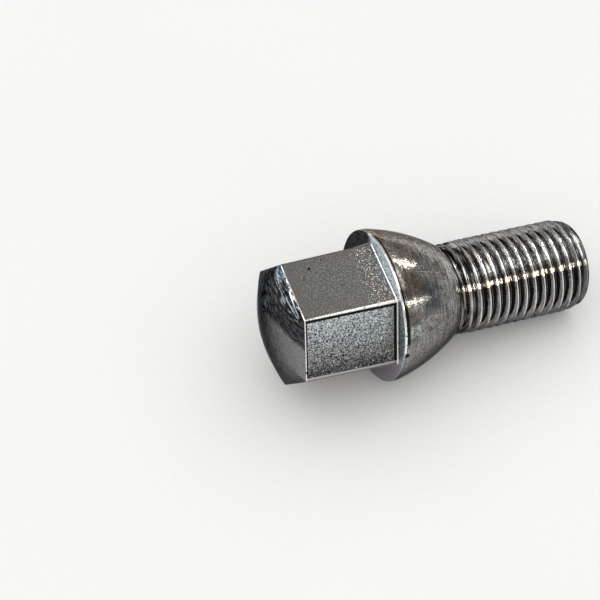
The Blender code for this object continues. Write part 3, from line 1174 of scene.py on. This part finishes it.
# %% [markdown]
# ## A pale table
#
# A bolt like this is shown on plain white card. The card is matt, with faint fibres and clouds, and
# it lies at the bolt's lowest point. Its own colour is just under white, so that it stays pale
# without more light and the soft shadow can be seen. A backdrop isn't needed, because the camera
# looks down and sees nothing but the card.

# %% Pale card
TABLE_SIZE = 3.0
FIBRE_HEIGHT = 0.02 * MM


def card_material():
    """Matt white card with faint fibres and clouds."""
    card = bpy.data.materials.new("pale_card")
    card.use_nodes = True
    card_tree = card.node_tree
    card_place = Wire(card_tree, card_tree.nodes.new("ShaderNodeTexCoord").outputs["Object"])
    fibres = noise(card_place, 900.0, 3.0, 0.6)
    clouds = noise(card_place, 25.0, 2.0, 0.5)
    card_colour = blend(rises(fibres * 0.6 + clouds * 0.4, 0.35, 0.65), grey(0.94), grey(0.96))
    sockets = {"Strength": 0.3, "Distance": FIBRE_HEIGHT, "Height": fibres}
    card_bump = fibres.node("ShaderNodeBump", inputs=sockets)
    card_shader = card_tree.nodes["Principled BSDF"]
    card_shader.inputs["Roughness"].default_value = 0.8
    card_shader.inputs["Specular IOR Level"].default_value = 0.0
    fibres.feed(card_shader.inputs["Base Color"], card_colour)
    fibres.feed(card_shader.inputs["Normal"], card_bump)
    return card


def table():
    """A flat square of card at the bolt's lowest point, which isn't part of the object."""
    bm = bmesh.new()
    bmesh.ops.create_grid(bm, x_segments=1, y_segments=1, size=TABLE_SIZE / 2)
    obj = new_object("table", bm)
    obj.data.materials.append(card_material())
    obj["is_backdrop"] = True
    return obj


pale_table = table()
print("table, m:", round(pale_table.dimensions.x, 2), round(pale_table.dimensions.y, 2))

# %% [markdown]
# ## Room light
#
# Bright metal shows what is round it, so the room matters more than the lamps. A picture of a real
# studio could wrap the scene, but a few tones by height do the same: pale near the table, middling
# and a little warm above. Behind the bolt the room is darker over a pale horizon, and this darker
# part is what gives the upper flats their tone.

# %% Room light
FRONT_TONES = [
    (0.0, grey(0.9)),
    (0.12, grey(0.9)),
    (0.4, grey(0.5, (1.0, 0.97, 0.92))),
    (1.0, grey(0.42)),
]
BACK_TONES = [
    (0.0, grey(0.9)),
    (0.02, grey(0.9)),
    (0.08, grey(0.2)),
    (0.35, grey(0.3)),
    (0.6, grey(0.48, (1.0, 0.97, 0.93))),
    (1.0, grey(0.42)),
]
world = bpy.data.worlds.new("studio")
world.use_nodes = True
bpy.context.scene.world = world
sky = world.node_tree
direction = Wire(sky, sky.nodes.new("ShaderNodeTexCoord").outputs["Generated"])
to_back, upward = parts_of(direction)[1:]
room = blend(rises(to_back, -0.3, 0.3), ramp(upward, FRONT_TONES), ramp(upward, BACK_TONES))
room.feed(sky.nodes["Background"].inputs["Color"], room)
print("nodes in the room light:", len(sky.nodes))

# %% [markdown]
# ## Lamps
#
# A wide lamp overhead lights the card evenly and throws the soft shadow. The others are there only
# to be mirrored in the plating: a softbox on the left for the edges and the dome, one above for
# the thread's crests, and two warm strips that lie along the bolt and draw the glints on seat and
# thread. Each kind is hidden from the surfaces that it isn't for.

# %% A soft lamp
own_axis = Vector((-math.cos(tilt), 0.0, math.sin(tilt)))


def soft_lamp(name, toward, distance, size, colour, watts):
    """A rectangular lamp that faces the bolt. Its first side lies along the bolt."""
    lamp = bpy.data.lights.new(name, "AREA")
    lamp.shape = "RECTANGLE"
    lamp.size, lamp.size_y = size
    lamp.color = colour
    lamp.energy = watts
    obj = bpy.data.objects.new(name, lamp)
    bpy.context.scene.collection.objects.link(obj)
    back = Vector(toward).normalized()
    along = (own_axis - back * back.dot(own_axis)).normalized()
    turn = Matrix((along, back.cross(along), back)).transposed()
    obj.matrix_world = Matrix.Translation(back * distance) @ turn.to_4x4()
    obj.visible_camera = False
    obj.visible_diffuse = False
    return obj


print("lamps lie along:", [round(value, 2) for value in own_axis])

# %% Lamps, each with its direction, its distance, its two sides, its colour and its watts
NEAR = 0.8
WARM_LIGHT = (1.0, 0.92, 0.81)
MIRRORED_LAMPS = {
    "left_softbox": ((-0.60, 0.12, 0.75), NEAR, (0.45, 0.8), (0.86, 0.94, 1.0), 4.0),
    "front_strip": ((0.60, -0.60, 0.52), NEAR, (0.9, 0.03), WARM_LIGHT, 1.3),
    "far_strip": ((0.74, 0.36, 0.60), NEAR, (0.34, 0.03), WARM_LIGHT, 0.6),
    "upper_softbox": ((0.50, -0.10, 0.86), NEAR, (0.40, 0.36), (0.96, 1.0, 1.0), 0.75),
}
for name, settings in MIRRORED_LAMPS.items():
    soft_lamp(name, *settings)
fill = soft_lamp("table_light", (0.0, 0.0, 1.0), 1.2, (3.4, 3.4), (1.0, 1.0, 1.0), 27.5)
fill.visible_glossy = False
fill.visible_diffuse = True
print("lamps:", len(bpy.data.lights))

# %% [markdown]
# ## Camera
#
# The bolt was seen from its front left and well above, a little tilted, and from close by. A longer
# lens further off would flatten it. The camera is placed from angles and a distance: it backs off
# from a point on the axis, then slides left and a little down without turning, so the bolt lies
# right of the picture's middle.

# %% Camera
VIEW_AZIMUTH = math.radians(-20.96)
VIEW_ELEVATION = math.radians(52.75)
VIEW_ROLL = math.radians(-0.44)
SENSOR = 36.0
LENS = 112.1
VIEW_DISTANCE = 277.8 * MM
AIM_HEIGHT = -5.0 * MM
AIM_RIGHT = 25.22 * MM
AIM_UP = 2.31 * MM
CLIP_START = 10.0 * MM


def place_camera():
    """A camera that looks at the bolt from the given angles and distance."""
    camera = bpy.data.cameras.new("camera")
    camera.lens = LENS
    camera.sensor_width = SENSOR
    camera.clip_start = CLIP_START
    obj = bpy.data.objects.new("camera", camera)
    bpy.context.scene.collection.objects.link(obj)
    level = Vector((math.cos(VIEW_AZIMUTH), math.sin(VIEW_AZIMUTH), 0.0))
    away = Vector((math.sin(VIEW_AZIMUTH), -math.cos(VIEW_AZIMUTH), 0.0))
    back = away * math.cos(VIEW_ELEVATION) + Vector((0.0, 0.0, math.sin(VIEW_ELEVATION)))
    right = Matrix.Rotation(VIEW_ROLL, 3, back) @ level
    up = back.cross(right)
    aim = own_frame @ Vector((0, 0, AIM_HEIGHT))
    eye = aim + back * VIEW_DISTANCE - right * AIM_RIGHT - up * AIM_UP
    turn = Matrix((right, up, back)).transposed()
    obj.matrix_world = Matrix.Translation(eye) @ turn.to_4x4()
    bpy.context.scene.camera = obj
    return obj


camera = place_camera()
print("camera at, mm:", [round(value / MM, 1) for value in camera.matrix_world.translation])

# %% [markdown]
# ## Sizes
#
# The last step shows colours as they are and compares the box of the finer surface with that of the
# imported solid, printing how far each corner lies apart. A finer surface may not outgrow the solid,
# or the bolt would no longer fit where the library says it does.

# %% Print the sizes
bpy.context.scene.view_settings.view_transform = "Standard"
seen_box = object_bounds()
for end, seen_corner, cad_corner in zip(("low", "high"), seen_box, cad_box):
    growth = [round((seen - cad) / MM, 3) for seen, cad in zip(seen_corner, cad_corner)]
    print(end, "corner of the finer surface minus that of the solid, mm:", growth)
